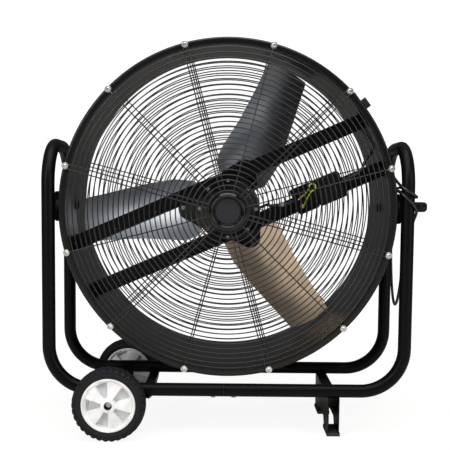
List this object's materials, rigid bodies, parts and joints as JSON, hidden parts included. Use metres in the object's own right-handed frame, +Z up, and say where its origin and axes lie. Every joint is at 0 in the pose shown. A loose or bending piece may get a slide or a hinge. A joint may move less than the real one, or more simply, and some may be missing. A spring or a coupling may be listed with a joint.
{
  "type": "drum fan",
  "caption": "Drum fan: a motor-driven impeller in a guarded steel drum that tilts in a bent tube frame with two wheels at one end and a foot at the other.",
  "frame": {"origin": "on the floor under the middle of the fan", "axes": "+X to the right seen from the motor side, +Y away from the motor side, +Z up"},
  "size_m": [0.926, 0.422, 0.967],
  "materials": {
    "frame_black": "satin black powder coat",
    "drum_black": "satin black powder coat, brownish inside",
    "wire_black": "black coated wire",
    "cap_black": "gloss black enamel",
    "disc_grey": "matte dark grey, bare",
    "motor_black": "black enamel",
    "zinc": "zinc plated",
    "bare_steel": "bare machined steel",
    "copper": "enamelled copper wire",
    "blade_metal": "bare sheet metal",
    "earth_brass": "brass",
    "box_black": "satin black",
    "case_grey": "plain moulded plastic",
    "lead_black": "soft black sheath",
    "switch_black": "fine textured black plastic",
    "knob_black": "smooth black plastic",
    "pad_rubber": "black rubber",
    "tyre_black": "black moulded tyre",
    "rim_white": "white moulded plastic"
  },
  "bodies": {
    "frame": {"frame_tube_left": "frame_black", "frame_tube_right": "frame_black", "tube_spigots": "bare_steel", "frame_screws": "zinc", "pivot_bracket_left": "frame_black", "pivot_bracket_right": "frame_black", "wheel_brace": "frame_black", "axle_brackets": "frame_black", "wheel_axle": "zinc", "axle_spacers": "zinc", "axle_push_nuts": "zinc", "foot_channel": "frame_black", "foot_pads": "pad_rubber", "cord_drop": "lead_black", "cord_winding": "lead_black", "power_plug": "lead_black"},
    "drum": {"drum_shell": "drum_black", "guard_front": "wire_black", "guard_rear": "wire_black", "guard_caps": "cap_black", "cap_discs": "disc_grey", "spoke_plates": "wire_black", "guard_screws": "zinc", "strut_upper": "drum_black", "strut_lower": "drum_black", "strut_bolts": "zinc", "motor_plate": "drum_black", "motor_bell_front": "motor_black", "motor_housing": "motor_black", "motor_bell_rear": "motor_black", "motor_bearings": "bare_steel", "motor_stator": "bare_steel", "motor_windings": "copper", "motor_bolts": "zinc", "terminal_box": "box_black", "capacitor_cover": "box_black", "capacitor": "case_grey", "earth_screw": "earth_brass", "motor_lead": "lead_black", "switch_lead": "lead_black", "lead_fixings": "case_grey", "switch_box": "switch_black", "switch_cover": "switch_black", "switch_body": "case_grey", "cord_gland": "switch_black", "pivot_bolts": "zinc", "pivot_spacers": "zinc", "pivot_nuts": "zinc"},
    "impeller": {"motor_shaft": "bare_steel", "motor_rotor": "bare_steel", "hub_spider": "drum_black", "blade_1": "blade_metal", "blade_2": "blade_metal", "blade_3": "blade_metal", "blade_rivets": "zinc"},
    "wheel_front": {"tyre_front": "tyre_black", "wheel_rim_front": "rim_white"},
    "wheel_rear": {"tyre_rear": "tyre_black", "wheel_rim_rear": "rim_white"},
    "knob": {"switch_knob": "knob_black"}
  },
  "joints": [
    {"name": "drum_tilt", "type": "hinge", "parent": "frame", "child": "drum", "pos_m": [0, 0, 0.555], "axis": [1, 0, 0], "range_deg": [-93, 87], "deforming": ["cord_drop"]},
    {"name": "impeller_spin", "type": "hinge", "parent": "drum", "child": "impeller", "pos_m": [0, 0, 0.555], "axis": [0, -0.9986, -0.0523], "continuous": true},
    {"name": "knob_turn", "type": "hinge", "parent": "drum", "child": "knob", "pos_m": [0.34581, 0.05127, 0.81863], "axis": [0.7986, -0.0315, 0.601], "range_deg": [0, 120]},
    {"name": "wheel_front_spin", "type": "hinge", "parent": "frame", "child": "wheel_front", "pos_m": [-0.278, -0.19, 0.088], "axis": [0, 1, 0], "continuous": true},
    {"name": "wheel_rear_spin", "type": "hinge", "parent": "frame", "child": "wheel_rear", "pos_m": [-0.278, 0.19, 0.088], "axis": [0, 1, 0], "continuous": true}
  ]
}
